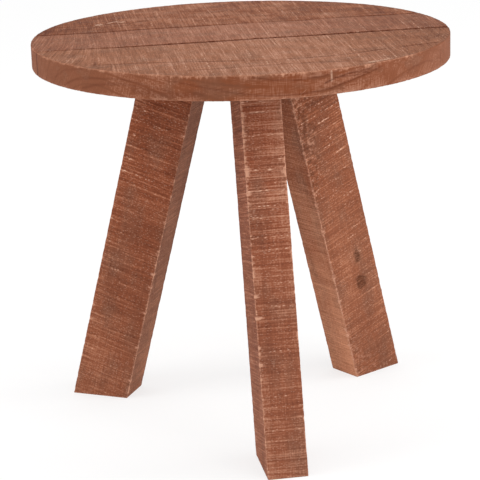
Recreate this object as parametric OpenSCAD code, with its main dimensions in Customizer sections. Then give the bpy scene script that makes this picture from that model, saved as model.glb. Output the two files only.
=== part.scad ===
// Round side table: a top of three edge-glued boards on three splayed, rough-sawn legs.
// Sizes are in millimetres. The origin is on the floor under the centre of the top, +Z is up,
// and the front leg points towards -Y.

/* [Top] */
// Diameter of the round top
top_d = 500; // [440:5:600]
// Thickness of the boards
top_t = 28.5; // [24:0.5:40]
// Height of the top's upper face above the floor
table_h = 475; // [380:5:560]
// Chamfer along the upper and lower rim
rim_chamfer = 0.8; // [0.4:0.2:3]

/* [Boards] */
// Width of the middle board
middle_w = 107; // [90:0.5:130]
// How far the front seam lies in front of the centre of the top
front_seam = 37; // [30:0.5:45]
// Turn of the boards against the line square to the front leg
board_turn = 0.5; // [-2:0.5:2]
// Depth of the open groove over the front seam
front_groove = 1.2; // [0.4:0.1:2]
// Depth of the open groove over the back seam
back_groove = 0.6; // [0.4:0.1:2]
// Depth of the eased edges along both seams on the underside
under_groove = 0.5; // [0.3:0.1:2]

/* [Dowels] */
// Diameter of the dowels that cross each seam
dowel_d = 8; // [6:1:10]
// Length of a dowel
dowel_l = 40; // [30:1:44]
// Number of dowels in each seam
dowel_count = 5; // [3:2:5]
// Distance between neighbouring dowels
dowel_pitch = 75; // [70:1:80]
// Room left for glue beyond each end of a dowel
glue_room = 1; // [0.5:0.1:2]

/* [Legs] */
// Width of a leg, across the line to the centre of the top
leg_w = 48; // [40:1:56]
// Depth of a leg, square to its length, along the line to the centre
leg_d = 73; // [64:1:82]
// Outward lean of a leg from the vertical
splay = 15; // [8:0.5:18]
// Distance from the centre of the top to the leg's axis, at the underside of the top
leg_reach = 79.5; // [76:0.5:90]
// Chamfer along the leg's four long edges
leg_chamfer = 0.8; // [0.4:0.2:3]

/* [Leg plates] */
// Thickness of the steel plate between a leg and the top
plate_t = 4; // [4:0.5:6]
// How far the plate reaches past the leg's end towards the centre
plate_inner_lip = 1; // [0:0.5:3]
// How far the plate reaches past the leg's end away from the centre
plate_outer_lip = 18; // [16:0.5:24]
// Distance from a bolt's axis to the plate's nearest edges
plate_margin = 9; // [8:0.5:10]
// Radius of the plate's corners
plate_corner = 6; // [3:0.5:8]

/* [Leg screws] */
// Diameter of a countersunk wood screw
screw_d = 6; // [4:0.5:7]
// Length of a wood screw with its head
screw_l = 60; // [40:1:70]
// Diameter of the screw's countersunk head
screw_head_d = 11.5; // [10:0.5:12]
// Wood left between a screw and the faces of the leg
screw_cover = 9; // [7:0.5:10]
// Width across the flats of the drive recess
screw_drive = 4; // [3:0.5:5]
// Depth of the drive recess
screw_drive_depth = 2; // [1:0.5:2.5]

/* [Plate bolts] */
// Diameter of a bolt's shank
bolt_d = 6; // [5:1:8]
// Length of a bolt under its head
bolt_l = 16; // [14:1:18]
// Diameter of a bolt's button head
bolt_head_d = 10.5; // [9:0.5:13]
// Height of a bolt's button head
bolt_head_h = 3.3; // [3:0.1:5]
// Width across the flats of the hexagon socket
bolt_socket = 4; // [3:0.5:5]
// Depth of the hexagon socket
bolt_socket_depth = 2; // [1:0.1:2.5]
// Diameter of a washer
washer_d = 12; // [11:0.5:14]
// Thickness of a washer
washer_t = 1.6; // [1:0.1:2]
// Space between a washer and the side of the leg
washer_gap = 2; // [1:0.5:4]

/* [Threaded inserts] */
// Outer diameter of an insert in the top
insert_d = 10; // [10:0.5:12]
// Length of an insert
insert_l = 13; // [12:0.5:15]
// Depth of the bore beyond the end of the insert
insert_room = 1.5; // [1:0.5:3]

/* [Clearances] */
// Radial clearance of a dowel, screw, bolt or insert in its bore
fit_gap = 0.05; // [0.02:0.01:0.08]
// Radial clearance of a bolt in the plate and in its washer
bolt_gap = 0.3; // [0.2:0.05:0.5]
// How far a screw's head is sunk below the face of the plate
head_sink = 0.2; // [0.1:0.1:0.5]

/* [Hidden] */
$fn = 96;

// Angles of the legs, anticlockwise from the front leg as seen from above
front_angle = 0;
right_angle = 120;
left_angle = 240;
leg_angles = [front_angle, right_angle, left_angle];

top_r = top_d / 2;
under_z = table_h - top_t;      // underside of the top
mid_z = table_h - top_t / 2;    // middle of the boards' thickness
leg_z = under_z - plate_t;      // upper end of a leg
back_seam = middle_w - front_seam;
past = 10;                      // how far a cutting shape runs past what it cuts

// A leg's end, cut level, is longer than its section
leg_cut_d = leg_d / cos(splay);
// Distance from the centre to a leg's axis at its upper end
leg_r = leg_reach + plate_t * tan(splay);

plate_near = leg_r - leg_cut_d / 2 - plate_inner_lip;
plate_far = leg_r + leg_cut_d / 2 + plate_outer_lip;

bolt_rows = [plate_near + plate_margin, plate_far - plate_margin];
bolt_side = leg_w / 2 + washer_gap + washer_d / 2;
plate_half_w = bolt_side + plate_margin;
bolt_seat_z = leg_z - washer_t; // underside of the washers, where the bolt heads bear

// The inner screw keeps clear of the leg's inner face, which leans over it
screw_inset = screw_cover + screw_d / 2;
screw_inner_r = leg_r - leg_cut_d / 2 + screw_l * tan(splay) + screw_inset;
screw_outer_r = leg_r + leg_cut_d / 2 - screw_inset;
screw_side = leg_w / 2 - screw_inset;
screw_places = [[screw_inner_r, 0], [screw_outer_r, screw_side], [screw_outer_r, -screw_side]];
screw_head_h = (screw_head_d - screw_d) / 2;
screw_tip = screw_d;            // length of the screw's point

// Carries a shape drawn with +X away from the centre to the leg at an angle
module at_leg(angle) {
  rotate([0, 0, angle - 90]) children();
}

// Repeats a shape at the four bolts of one leg
module at_bolts() {
  for (r = bolt_rows, side = [-bolt_side, bolt_side])
    translate([r, side, 0]) children();
}

// Repeats a shape at the three screws of one leg
module at_screws() {
  for (place = screw_places)
    translate([place[0], place[1], 0]) children();
}

// Repeats a shape along a seam, at the height of the dowels
module at_dowels(seam) {
  for (i = [0 : dowel_count - 1])
    rotate([0, 0, board_turn])
      translate([(i - (dowel_count - 1) / 2) * dowel_pitch, seam, mid_z])
        rotate([90, 0, 0]) children();
}

// The round top before it is divided, with both rims chamfered
module top_blank() {
  rotate_extrude()
    polygon([
      [0, under_z],
      [top_r - rim_chamfer, under_z],
      [top_r, under_z + rim_chamfer],
      [top_r, table_h - rim_chamfer],
      [top_r - rim_chamfer, table_h],
      [0, table_h]
    ]);
}

// A straight strip between two seams
module strip(near, far) {
  rotate([0, 0, board_turn])
    translate([-top_r - past, near, under_z - past])
      cube([top_d + 2 * past, far - near, top_t + 2 * past]);
}

// A V-shaped groove along a seam, centred on one face of the top
module groove(seam, z, depth) {
  rotate([0, 0, board_turn])
    translate([0, seam, z])
      rotate([45, 0, 0])
        cube([top_d + 2 * past, depth * sqrt(2), depth * sqrt(2)], center = true);
}

// Everything that is cut along one seam
module seam_cuts(seam, depth) {
  groove(seam, table_h, depth);
  groove(seam, under_z, under_groove);
  at_dowels(seam)
    cylinder(d = dowel_d + 2 * fit_gap, h = dowel_l + 2 * glue_room, center = true);
}

// Blind bores for the threaded inserts of all the legs
module insert_bores() {
  for (angle = leg_angles)
    at_leg(angle) at_bolts()
      translate([0, 0, under_z - past])
        cylinder(d = insert_d + 2 * fit_gap, h = past + insert_l + insert_room);
}

// The back board, behind the back seam
module board_back() {
  color("#8f614f") difference() {
    intersection() {
      top_blank();
      strip(back_seam, top_r + past);
    }
    seam_cuts(back_seam, back_groove);
    insert_bores();
  }
}

// The middle board, between the two seams
module board_middle() {
  color("#9a6b59") difference() {
    intersection() {
      top_blank();
      strip(-front_seam, back_seam);
    }
    seam_cuts(back_seam, back_groove);
    seam_cuts(-front_seam, front_groove);
    insert_bores();
  }
}

// The front board, in front of the front seam
module board_front() {
  color("#a57660") difference() {
    intersection() {
      top_blank();
      strip(-top_r - past, -front_seam);
    }
    seam_cuts(-front_seam, front_groove);
    insert_bores();
  }
}

// The dowels across one seam, with tapered ends
module dowels(seam) {
  lead = dowel_d / 8;
  color("#caa877") at_dowels(seam)
    rotate_extrude()
      polygon([
        [0, -dowel_l / 2],
        [dowel_d / 2 - lead, -dowel_l / 2],
        [dowel_d / 2, lead - dowel_l / 2],
        [dowel_d / 2, dowel_l / 2 - lead],
        [dowel_d / 2 - lead, dowel_l / 2],
        [0, dowel_l / 2]
      ]);
}

// A leg's section, with its corners chamfered: X is its depth and Y its width
module leg_section() {
  x = leg_d / 2;
  y = leg_w / 2;
  c = leg_chamfer;
  polygon([
    [x - c, y], [c - x, y], [-x, y - c], [-x, c - y],
    [c - x, -y], [x - c, -y], [x, c - y], [x, y - c]
  ]);
}

// A straight leg that leans outwards, cut level at the floor and under its plate
module leg(angle) {
  length = (leg_z + leg_d) / cos(splay) + 2 * past;
  color("#935a45") at_leg(angle) difference() {
    intersection() {
      translate([leg_r, 0, leg_z])
        rotate([0, -splay, 0])
          translate([0, 0, leg_d - length])
            linear_extrude(length) leg_section();
      translate([0, -leg_w, 0])
        cube([top_d, 2 * leg_w, leg_z]);
    }
    at_screws()
      translate([0, 0, under_z - screw_l - fit_gap])
        cylinder(d = screw_d + 2 * fit_gap, h = screw_l + past);
  }
}

// The steel plate between a leg and the top, with its countersunk and plain holes
module leg_plate(angle) {
  color("#2c2c2e") at_leg(angle) difference() {
    translate([0, 0, leg_z]) linear_extrude(plate_t) plate_outline();
    at_bolts()
      translate([0, 0, leg_z - past])
        cylinder(d = bolt_d + 2 * bolt_gap, h = plate_t + 2 * past);
    at_screws() {
      translate([0, 0, leg_z - past])
        cylinder(d = screw_d + 2 * fit_gap, h = plate_t + 2 * past);
      screw_head(fit_gap, head_sink + past);
    }
  }
}

// The plate's outline, with round corners
module plate_outline() {
  near = plate_near + plate_corner;
  far = plate_far - plate_corner;
  side = plate_half_w - plate_corner;
  for (x = [near, far], y = [-side, side])
    translate([x, y]) circle(r = plate_corner);
  translate([plate_near, -side]) square([plate_far - plate_near, 2 * side]);
  translate([near, -plate_half_w]) square([far - near, 2 * plate_half_w]);
}

// A screw's countersunk head, grown by a radial gap and carried straight up by a length
module screw_head(gap, up) {
  flat_z = under_z - head_sink;
  translate([0, 0, flat_z - screw_head_h])
    cylinder(r1 = screw_d / 2 + gap, r2 = screw_head_d / 2 + gap, h = screw_head_h);
  if (up > 0)
    translate([0, 0, flat_z]) cylinder(d = screw_head_d + 2 * gap, h = up);
}

// The countersunk wood screws that hold one plate to its leg
module leg_screws(angle) {
  flat_z = under_z - head_sink;
  shank = screw_l - head_sink - screw_head_h - screw_tip;
  color("#c3b27c") at_leg(angle) at_screws() difference() {
    union() {
      screw_head(0, 0);
      translate([0, 0, flat_z - screw_head_h - shank]) cylinder(d = screw_d, h = shank);
      translate([0, 0, flat_z - screw_head_h - shank - screw_tip])
        cylinder(r1 = screw_d / 20, r2 = screw_d / 2, h = screw_tip);
    }
    translate([0, 0, flat_z - screw_drive_depth])
      cylinder(d = screw_drive / cos(30), h = screw_drive_depth + past, $fn = 6);
  }
}

// The button-head bolts that hold one plate to the top
module plate_bolts(angle) {
  crown = bolt_head_d / 2 - bolt_socket * 0.75;
  color("#b4b6b8") at_leg(angle) at_bolts() translate([0, 0, bolt_seat_z]) difference() {
    union() {
      cylinder(d = bolt_d - 2 * fit_gap, h = bolt_l);
      translate([0, 0, -bolt_head_h])
        cylinder(r1 = bolt_head_d / 2 - crown, r2 = bolt_head_d / 2, h = bolt_head_h);
    }
    translate([0, 0, -bolt_head_h - past])
      cylinder(d = bolt_socket / cos(30), h = bolt_socket_depth + past, $fn = 6);
  }
}

// The flat washers under the heads of one leg's bolts
module washers(angle) {
  color("#bfc1c3") at_leg(angle) at_bolts() translate([0, 0, bolt_seat_z]) difference() {
    cylinder(d = washer_d, h = washer_t);
    translate([0, 0, -past])
      cylinder(d = bolt_d + 2 * bolt_gap, h = washer_t + 2 * past);
  }
}

// The threaded inserts in the top that take one leg's bolts
module inserts(angle) {
  color("#c9a94f") at_leg(angle) at_bolts() translate([0, 0, under_z]) difference() {
    cylinder(d = insert_d, h = insert_l);
    translate([0, 0, -past]) cylinder(d = bolt_d, h = insert_l + 2 * past);
  }
}

board_back();
board_middle();
board_front();
dowels(back_seam);  // dowels_back_seam
dowels(-front_seam);  // dowels_front_seam
leg(front_angle);  // leg_front
leg(left_angle);  // leg_left
leg(right_angle);  // leg_right
leg_plate(front_angle);  // leg_plate_front
leg_plate(left_angle);  // leg_plate_left
leg_plate(right_angle);  // leg_plate_right
leg_screws(front_angle);  // leg_screws_front
leg_screws(left_angle);  // leg_screws_left
leg_screws(right_angle);  // leg_screws_right
plate_bolts(front_angle);  // plate_bolts_front
plate_bolts(left_angle);  // plate_bolts_left
plate_bolts(right_angle);  // plate_bolts_right
washers(front_angle);  // washers_front
washers(left_angle);  // washers_left
washers(right_angle);  // washers_right
inserts(front_angle);  // inserts_front
inserts(left_angle);  // inserts_left
inserts(right_angle);  // inserts_right
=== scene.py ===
"""Looks of a round, rough-sawn side table, built around its packed construction.

Three boards make the top, and three splayed legs carry it on bolted steel plates. The boards,
the legs and the bolts get detailed meshes of their own. The other nodes keep their shape and get
a finish. Lengths are in millimetres until a mesh is placed, and in metres in the frame.
"""

import logging
import math
from dataclasses import dataclass
from enum import Enum
from functools import partial
from itertools import product
from typing import NamedTuple

import bmesh
import bpy
import numpy as np
from mathutils import Matrix, Vector


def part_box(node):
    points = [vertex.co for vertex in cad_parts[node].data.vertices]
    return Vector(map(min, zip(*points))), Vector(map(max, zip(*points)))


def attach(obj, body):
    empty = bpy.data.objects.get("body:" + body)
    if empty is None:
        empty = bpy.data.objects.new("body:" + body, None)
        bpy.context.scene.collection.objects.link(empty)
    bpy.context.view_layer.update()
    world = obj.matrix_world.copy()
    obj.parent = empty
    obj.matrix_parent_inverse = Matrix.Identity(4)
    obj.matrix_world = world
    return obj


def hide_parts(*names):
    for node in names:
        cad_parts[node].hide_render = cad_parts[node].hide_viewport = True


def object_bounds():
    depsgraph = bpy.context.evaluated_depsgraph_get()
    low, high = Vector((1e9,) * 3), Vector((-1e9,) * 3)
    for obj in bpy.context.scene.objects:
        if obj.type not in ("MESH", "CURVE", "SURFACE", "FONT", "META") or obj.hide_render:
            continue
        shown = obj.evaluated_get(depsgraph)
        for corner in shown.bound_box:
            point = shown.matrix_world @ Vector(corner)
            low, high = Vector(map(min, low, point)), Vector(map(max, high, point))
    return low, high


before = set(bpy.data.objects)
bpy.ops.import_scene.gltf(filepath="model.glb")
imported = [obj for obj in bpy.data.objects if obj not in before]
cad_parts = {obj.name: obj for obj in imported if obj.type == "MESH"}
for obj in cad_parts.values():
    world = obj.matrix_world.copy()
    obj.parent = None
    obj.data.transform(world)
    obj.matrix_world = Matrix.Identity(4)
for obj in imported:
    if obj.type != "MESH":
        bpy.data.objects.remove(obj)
CAD_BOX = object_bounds()

log = logging.getLogger("side_table")

MM = 0.001
# How close to a face a point counts as lying on it
NEAR = 1e-3
HASH_PRIMES = (73856093, 19349663, 83492791)
HASH_MIX = (0x2C1B3C6D, 0x297A2D39)
HASH_SEED = 40503
HASH_MASK = 0xFFFFFFFF

Array = np.ndarray
Socket = bpy.types.NodeSocket
Curve = tuple[tuple[float, float], ...]
# The base, the dark and the pale colour that a stain took
Stain = tuple[str, str, str]


def noise(*axes: Array, seed: int = 0) -> Array:
    """Gives smooth noise from 0 to 1 whose cells are one unit wide.

    Args:
        axes: One to three arrays of coordinates.
        seed: Chooses the pattern.

    Returns:
        One value for each point.
    """
    axes = np.broadcast_arrays(*[np.asarray(axis, float) for axis in axes])
    cells = [np.floor(axis).astype(np.int64) for axis in axes]
    fades = [ramp(axis - cell, 0, 1) for axis, cell in zip(axes, cells)]
    total = np.zeros(axes[0].shape)
    for corner in product((0, 1), repeat=len(axes)):
        mixed = np.full(total.shape, seed * HASH_SEED, dtype=np.int64)
        weight = np.ones(total.shape)
        for step, cell, fade, prime in zip(corner, cells, fades, HASH_PRIMES):
            mixed ^= (cell + step) * prime
            weight = weight * (fade if step else 1 - fade)
        for factor in HASH_MIX:
            mixed &= HASH_MASK
            mixed = (mixed ^ (mixed >> 15)) * factor
        total += weight * ((mixed >> 8) & 0xFFFF) / 0xFFFF
    return total


def ramp(value: Array, low: float | Array, high: float | Array) -> Array:
    """Gives a smooth step from 0 at low to 1 at high, which may be below low."""
    share = np.clip((value - low) / (high - low), 0, 1)
    return share * share * (3 - 2 * share)


def along(curve: Curve, x: Array) -> Array:
    """Reads a curve given by its corner points at each x."""
    return np.interp(x, [point[0] for point in curve], [point[1] for point in curve])


def round_over(near: Array, deep: Array, radius: Array) -> tuple[Array, Array]:
    """Moves the points by a square edge onto a worn, rounded one.

    Args:
        near: Distance from each point to the edge's first face.
        deep: Distance from each point to the edge's second face.
        radius: Radius of the rounding at each point.

    Returns:
        The new distances to the first and the second face.
    """
    inside = (near < radius) & (deep < radius)
    x, y = near - radius, deep - radius
    reach = np.maximum(np.hypot(x, y), 1e-9)
    pull = np.where(inside & (reach > radius), radius / reach, 1)
    return radius + x * pull, radius + y * pull


def linear(colour: str) -> tuple[float, float, float, float]:
    """Turns an sRGB hex colour into the linear values that a shader takes."""
    shares = [int(colour[i : i + 2], 16) / 255 for i in (1, 3, 5)]
    return (*[s / 12.92 if s <= 0.04045 else ((s + 0.055) / 1.055) ** 2.4 for s in shares], 1.0)


class Shader:
    """A node tree under construction. Its short methods add a node each and give its output."""

    def __init__(self, tree: bpy.types.NodeTree, kind: str = "OutputMaterial") -> None:
        """Empties the tree and gives it its output node.

        Args:
            tree: The node tree.
            kind: Blender's name for the output node's type, without its prefix.
        """
        tree.nodes.clear()
        self.tree = tree
        self.output = self.add(kind)

    def add(self, kind: str, inputs: dict | None = None, **settings) -> bpy.types.Node:
        """Adds a node with its settings and links.

        Args:
            kind: Blender's name for the node's type, without its ShaderNode prefix.
            inputs: Value or source socket for each input, by its name or number.
            settings: The node's own properties.

        Returns:
            The new node.
        """
        node = self.tree.nodes.new("ShaderNode" + kind)
        for name, value in settings.items():
            setattr(node, name, value)
        for socket, value in (inputs or {}).items():
            if isinstance(value, Socket):
                self.tree.links.new(value, node.inputs[socket])
            else:
                node.inputs[socket].default_value = value
        return node

    def chain(self, operation: str, first: Socket | float, *others: Socket | float) -> Socket:
        """Works through the values from left to right with one kind of arithmetic.

        Args:
            operation: The Math node's operation.
            first: The value to start from.
            others: The values that follow.

        Returns:
            The result.
        """
        for other in others or (0.0,):
            first = self.add("Math", {0: first, 1: other}, operation=operation).outputs[0]
        return first

    def share(self, value: Socket, low: float, high: float, most: float = 1.0, least: float = 0.0) -> Socket:
        """Stretches the values from low to high over least to most."""
        return self.add("MapRange", {0: value, 1: low, 2: high, 3: least, 4: most}).outputs[0]

    def blend(self, factor: Socket | float, first: Socket | tuple, second: Socket | tuple) -> Socket:
        """Mixes two colours."""
        return self.add("Mix", {0: factor, 6: first, 7: second}, data_type="RGBA").outputs[2]

    def mark(self, name: str) -> Socket:
        """Reads one of the piece's own marks."""
        return self.add("Attribute", attribute_name=name).outputs["Fac"]

    def cells(self, where: Socket, size: tuple[float, float, float]) -> Socket:
        """Scales a place so that cells of this size are one unit wide."""
        scale = tuple(1 / v for v in size)
        return self.add("VectorMath", {0: where, 1: scale}, operation="MULTIPLY").outputs[0]

    def speckle(self, where: Socket, size: tuple[float, float, float], detail: float = 0.0) -> Socket:
        """Gives noise whose cells have this size."""
        place = self.cells(where, size)
        return self.add("TexNoise", {"Vector": place, "Scale": 1.0, "Detail": detail}).outputs[0]

    def bump(self, height: Socket, strength: float, deep_mm: float) -> Socket:
        """Raises the skin by a height."""
        inputs = {"Height": height, "Strength": strength, "Distance": deep_mm * MM}
        return self.add("Bump", inputs).outputs[0]

    def pile(self, total: Socket | float, *layers: tuple[Socket, float, float]) -> Socket:
        """Adds each layer's difference from its middle, times its weight.

        Args:
            total: The value to start from.
            layers: Each layer with its weight and its middle.

        Returns:
            The sum.
        """
        for layer, weight, middle in layers:
            rest = self.chain("ADD", total, -weight * middle)
            total = self.add("Math", {0: layer, 1: weight, 2: rest}, operation="MULTIPLY_ADD").outputs[0]
        return total

    def backdrop(self) -> Socket:
        """Tells the rays that show the backdrop as white: the camera's, mirrored and passed ones."""
        path = self.add("LightPath").outputs
        rays = [path[f"Is {kind} Ray"] for kind in ("Camera", "Glossy", "Transmission")]
        return self.chain("MAXIMUM", *rays)

    def end(self, result: Socket) -> None:
        """Ties the result to the tree's output."""
        self.tree.links.new(result, self.output.inputs["Surface"])


def new_material(name: str) -> tuple[bpy.types.Material, Shader]:
    """Makes an empty material.

    Args:
        name: The material's name.

    Returns:
        The material, and the shader that builds it.
    """
    material = bpy.data.materials.new(name)
    material.use_nodes = True
    return material, Shader(material.node_tree)


def new_piece(
    bm: bmesh.types.BMesh, name: str, material: bpy.types.Material, smooth: bool = True,
) -> bpy.types.Object:
    """Turns a finished bmesh into an object at the origin.

    Args:
        bm: The mesh, which is freed.
        name: The object's name.
        material: The finish of every face.
        smooth: Whether the faces are shaded as one smooth skin.

    Returns:
        The linked object.
    """
    mesh = bpy.data.meshes.new(name)
    bm.to_mesh(mesh)
    bm.free()
    mesh.materials.append(material)
    mesh.polygons.foreach_set("use_smooth", np.full(len(mesh.polygons), smooth))
    piece = bpy.data.objects.new(name, mesh)
    bpy.context.scene.collection.objects.link(piece)
    return piece


def points_of(mesh: bpy.types.Mesh) -> Array:
    """Reads a mesh's points, as one row for each axis."""
    flat = np.zeros(len(mesh.vertices) * 3)
    mesh.vertices.foreach_get("co", flat)
    return flat.reshape(-1, 3).T


def set_points(mesh: bpy.types.Mesh, points: Array, marks: dict[str, Array]) -> None:
    """Writes a mesh's points and the marks that its finish reads.

    Args:
        mesh: The mesh.
        points: One row for each point, in millimetres.
        marks: One value for each point under each mark's name.
    """
    mesh.vertices.foreach_set("co", (points * MM).astype(np.float32).ravel())
    mesh.update()
    for name, values in marks.items():
        layer = mesh.attributes.new(name, "FLOAT", "POINT")
        layer.data.foreach_set("value", values.astype(np.float32))


def settle(piece: bpy.types.Object, node: str) -> bpy.types.Object:
    """Ties a piece to the frame in place of its CAD node, and reports it.

    Args:
        piece: The finished piece.
        node: The CAD node that it stands for.

    Returns:
        The piece.
    """
    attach(piece, "root")
    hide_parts(node)
    log.info("%s stands for %s, %d faces", piece.name, node, len(piece.data.polygons))
    return piece


@dataclass(frozen=True)
class Rings:
    """How a timber's growth rings lie: about a pith line that may bow along the timber."""

    pith_y: float
    pith_z: float
    pitch: float = 6.5
    bend: float = 0.0
    middle: float = 0.0
    start: float = 0.0

    def late_wood(self, shader: Shader, place: Socket) -> Socket:
        """Draws the dark late wood of the rings, each with a strength of its own.

        Args:
            shader: The finish's shader.
            place: Place in the timber, in millimetres.

        Returns:
            The share of late wood.
        """
        chain, speckle = shader.chain, shader.speckle
        x, y, z = shader.add("SeparateXYZ", {0: place}).outputs
        reach = chain("SUBTRACT", x, self.middle)
        side = chain("SUBTRACT", y, self.pith_y, chain("MULTIPLY", reach, reach, self.bend))
        deep = chain("SUBTRACT", z, self.pith_z)
        far = chain("SQRT", chain("ADD", chain("MULTIPLY", side, side), chain("MULTIPLY", deep, deep)))
        ring = chain("ADD", far, chain("MULTIPLY", speckle(place, (240, 34, 34), 2.0), 6.0), self.start)
        wave = chain("SINE", chain("MULTIPLY", ring, 2 * math.pi / self.pitch))
        year = shader.add("CombineXYZ", {0: ring, 1: chain("MULTIPLY", x, 0.02)}).outputs[0]
        strength = shader.share(speckle(year, (0.8 * self.pitch, 1, 1)), 0.35, 0.6)
        return chain("MULTIPLY", chain("POWER", shader.share(wave, -1, 1), 9.0), strength)


@dataclass(frozen=True)
class Figure:
    """How strongly each pattern of a sawn face shows, as a share of the way from dark to pale."""

    lines: float = 0.45
    dashes: float = 0.25
    grit: float = 0.6
    bands: float = 0.25
    ridge: float = 0.5
    fibre: float = 0.12
    late: float = 0.03
    rings: float = 0.05
    cloud: float = 0.35
    specks: float = 0.9
    cuts: float = 0.4
    rim: float = 0.3
    line_mm: float = 1.5
    reach_mm: float = 55.0
    dash_mm: float = 9.0
    grit_mm: float = 2.4


@dataclass(frozen=True)
class SawnWood:
    """Softwood, sawn rough and stained red-brown: matt, with raised fibres that took little stain.

    The rough face scatters the light, so the stain looks even and dusty, the saw's ridges are torn
    pale and the valleys between them stay dark. Rubbed arrises show the bare, orange wood.
    """

    name: str
    origin: tuple[float, float, float]
    turn: tuple[float, float, float]
    rings: Rings
    stain: Stain
    figure: Figure
    torn: str
    bare: str
    smooth: str
    # The colour of dark knots, cracks and joints, and of painted shade in grooves and hollows
    dark_and_painted_shade: str = "#48190b"
    # The colour that dull, dusty patches and painted sheen on faces seen at a slant turn the stain to
    grey_dust_and_sheen: str = "#7d5c4b"
    fibre_mm: float = 0.9
    pore_mm: float = 0.45
    blotch_mm: float = 60.0

    def make(self) -> bpy.types.Material:
        """Builds the finish's nodes.

        Returns:
            The material.
        """
        material, shader = new_material(self.name)
        share, speckle, mark, blend = shader.share, shader.speckle, shader.mark, shader.blend
        figure, blotch = self.figure, self.blotch_mm
        times, plus, most = [partial(shader.chain, word) for word in ("MULTIPLY", "ADD", "MAXIMUM")]
        place = shader.add("Mapping", {
            "Vector": shader.add("TexCoord").outputs["Object"],
            "Location": self.origin, "Rotation": self.turn, "Scale": (MM, MM, MM),
        }, vector_type="TEXTURE").outputs["Vector"]
        face = shader.add("CombineXYZ", {0: mark("run"), 1: mark("round")}).outputs[0]
        sawn = mark("sawn")

        # The timber's own patterns
        late = self.rings.late_wood(shader, place)
        fibre = speckle(place, (50 * self.fibre_mm, self.fibre_mm, self.fibre_mm), 3.0)
        pores = speckle(place, (12 * self.pore_mm, self.pore_mm, self.pore_mm), 1.0)
        cloud = speckle(place, (1.2 * blotch, 0.6 * blotch, 0.6 * blotch), 3.0)
        dull = speckle(place, (0.9 * blotch, 0.5 * blotch, 0.4 * blotch), 2.0)
        mottle = speckle(place, (9, 2.4, 1.6), 2.0)

        # The saw's patterns, across the timber
        lines = speckle(face, (figure.line_mm, figure.reach_mm, 1), 1.0)
        dashes = speckle(face, (0.9 * figure.line_mm, figure.dash_mm, 1), 2.0)
        grit = speckle(face, (1.5, figure.grit_mm, 1), 2.0)
        bands = speckle(face, (9, 60, 1), 1.0)
        cuts = speckle(face, (1.3, 1.3 * figure.reach_mm, 1))
        rows = speckle(face, (1.5, 22, 1))
        patch = speckle(face, (26, 26, 1), 2.0)
        scratch = speckle(face, (1.4, 16, 1), 2.0)
        chips = shader.add("TexVoronoi", {
            "Vector": shader.cells(face, (2.0, 5.0, 1.0)), "Scale": 1.0,
        }, voronoi_dimensions="2D").outputs
        chance = shader.add("SeparateColor", {0: chips["Color"]}).outputs[0]
        picks = times(share(chips["Distance"], 0.5, 0.15), share(chance, 0.25, 0.6), share(sawn, 0.0, 0.3))

        # How light the stain came out
        cut = shader.pile(
            0.0, (lines, figure.lines, 0.5), (dashes, figure.dashes, 0.5), (grit, figure.grit, 0.5),
            (bands, figure.bands, 0.5), (mark("ridge"), figure.ridge, 0.45),
        )
        shade = times(share(mottle, 0.5, 0.7), share(dull, 0.4, 0.65))
        turned = shader.pile(
            0.0, (scratch, figure.rim, 0.5), (fibre, 0.3, 0.5),
            (late, -figure.rings, 0.1), (shade, -0.3, 0.1),
        )
        value = shader.pile(
            times(cut, sawn), (times(turned, share(sawn, 1.0, 0.0)), 1.0, 0.0),
            (fibre, figure.fibre, 0.5), (cloud, -figure.cloud, 0.5), (late, -figure.late, 0.1),
        )
        value = plus(value, 0.5, mark("tone"))

        # The stain, then what lies bare or dark over it
        base, dark, pale = map(linear, self.stain)
        base = blend(sawn, linear(self.smooth), base)
        # Dull, dusty patches and painted sheen on faces seen at a slant turn the stain greyer
        base = blend(most(share(dull, 0.45, 0.7, 0.45), mark("grey_dust_and_sheen")), base, linear(self.grey_dust_and_sheen))
        colour = blend(share(value, 0.5, 0.1), base, dark)
        colour = blend(share(value, 0.5, 0.9), colour, pale)
        colour = blend(times(share(cuts, 0.64, 0.74, figure.cuts), sawn), colour, dark)
        colour = blend(share(pores, 0.64, 0.76, 0.15), colour, dark)
        flecks = times(
            share(picks, 0.3, 0.9), share(patch, 0.45, 0.6, figure.specks), share(rows, 0.52, 0.66),
            share(sawn, 0.5, 1.0),
        )
        fuzz = share(plus(times(picks, 0.5), mark("torn")), 0.38, 0.95)
        colour = blend(most(flecks, fuzz), colour, linear(self.torn))
        rub = most(share(grit, 0.3, 0.56, 0.9), share(mark("wear"), 0.55, 0.85, 0.95))
        colour = blend(times(mark("wear"), rub), colour, linear(self.bare))
        # Dark knots, cracks and joints, with painted shade in the seams' grooves, in front of the seams and
        # in hollows
        colour = blend(mark("dark"), colour, linear(self.dark_and_painted_shade))

        height = plus(times(cut, sawn), times(fibre, 0.5))
        shader.end(shader.add("BsdfPrincipled", {
            "Base Color": colour,
            "Roughness": share(fibre, 0.3, 0.7, 0.88, 0.76),
            "Specular IOR Level": 0.08,
            "Normal": shader.bump(height, 0.6, 0.4),
        }).outputs[0])
        return material


@dataclass(frozen=True)
class Plain:
    """A smooth finish with a fine skin: powder coat, plating, turned brass or planed beech."""

    name: str
    colour: str
    tint: str
    metallic: float
    roughness: float
    grain_mm: tuple[float, float, float]
    bump: float

    def make(self) -> bpy.types.Material:
        """Builds the finish's nodes.

        Returns:
            The material.
        """
        material, shader = new_material(self.name)
        size = tuple(v * MM for v in self.grain_mm)
        skin = shader.speckle(shader.add("TexCoord").outputs["Object"], size, 3.0)
        colour = shader.blend(shader.share(skin, 0.4, 0.65), linear(self.colour), linear(self.tint))
        shader.end(shader.add("BsdfPrincipled", {
            "Base Color": colour,
            "Metallic": self.metallic,
            "Roughness": shader.share(skin, 0.3, 0.7, self.roughness + 0.08, self.roughness - 0.05),
            "Normal": shader.bump(skin, self.bump, 0.1),
        }).outputs[0])
        return material


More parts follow.
